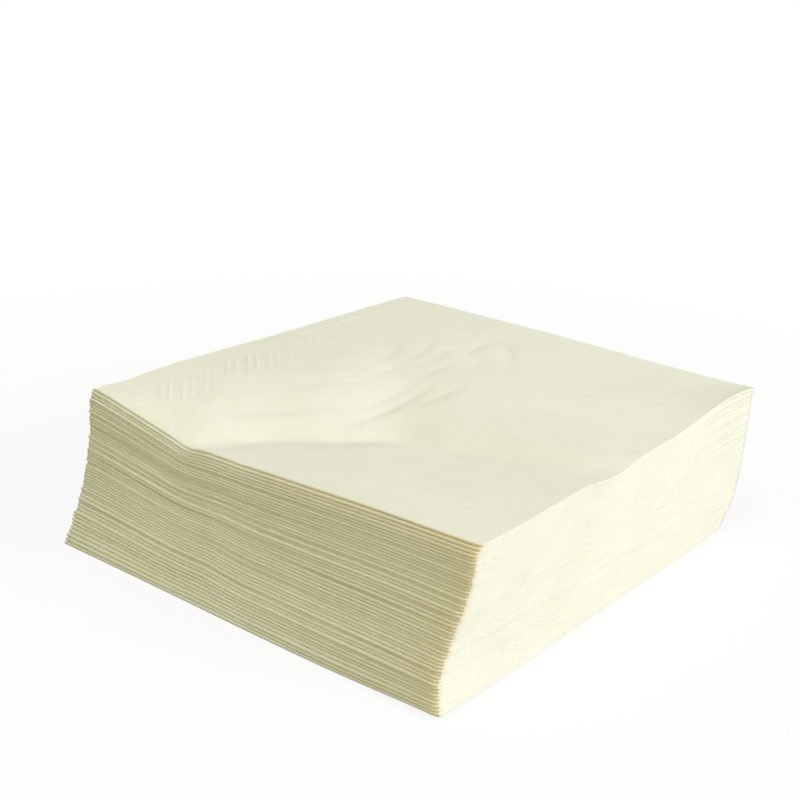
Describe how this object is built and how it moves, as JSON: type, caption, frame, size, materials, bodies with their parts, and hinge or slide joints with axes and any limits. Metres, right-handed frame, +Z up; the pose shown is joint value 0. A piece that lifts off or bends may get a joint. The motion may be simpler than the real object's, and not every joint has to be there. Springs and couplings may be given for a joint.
{
  "type": "stack of paper napkins",
  "caption": "Neat but slumped square stack of cream two-ply tissue napkins, each folded in four, ready to take from a table.",
  "frame": {"origin": "middle of the lowest napkin's underside, where the stack stands on the table", "axes": "+Z up out of the table; -X towards the side with one folded lip to each napkin; -Y towards the side with two folded lips to each napkin; the cut edges are on the +X and +Y sides"},
  "size_m": [0.1804, 0.1706, 0.0542],
  "materials": {
    "tissue": "soft matte cream tissue"
  },
  "bodies": {
    "root": {"napkin_01": "tissue", "napkin_02": "tissue", "napkin_03": "tissue", "napkin_04": "tissue", "napkin_05": "tissue", "napkin_06": "tissue", "napkin_07": "tissue", "napkin_08": "tissue", "napkin_09": "tissue", "napkin_10": "tissue", "napkin_11": "tissue", "napkin_12": "tissue", "napkin_13": "tissue", "napkin_14": "tissue", "napkin_15": "tissue", "napkin_16": "tissue", "napkin_17": "tissue", "napkin_18": "tissue", "napkin_19": "tissue", "napkin_20": "tissue", "napkin_21": "tissue", "napkin_22": "tissue", "napkin_23": "tissue", "napkin_24": "tissue", "napkin_25": "tissue", "napkin_26": "tissue", "napkin_27": "tissue", "napkin_28": "tissue", "napkin_29": "tissue", "napkin_30": "tissue", "napkin_31": "tissue", "napkin_32": "tissue", "napkin_33": "tissue", "napkin_34": "tissue", "napkin_35": "tissue", "napkin_36": "tissue", "napkin_37": "tissue", "napkin_38": "tissue", "napkin_39": "tissue", "napkin_40": "tissue", "napkin_41": "tissue", "napkin_42": "tissue", "napkin_43": "tissue", "napkin_44": "tissue", "napkin_45": "tissue", "napkin_46": "tissue", "napkin_47": "tissue", "napkin_48": "tissue", "napkin_49": "tissue", "napkin_50": "tissue"}
  },
  "joints": []
}
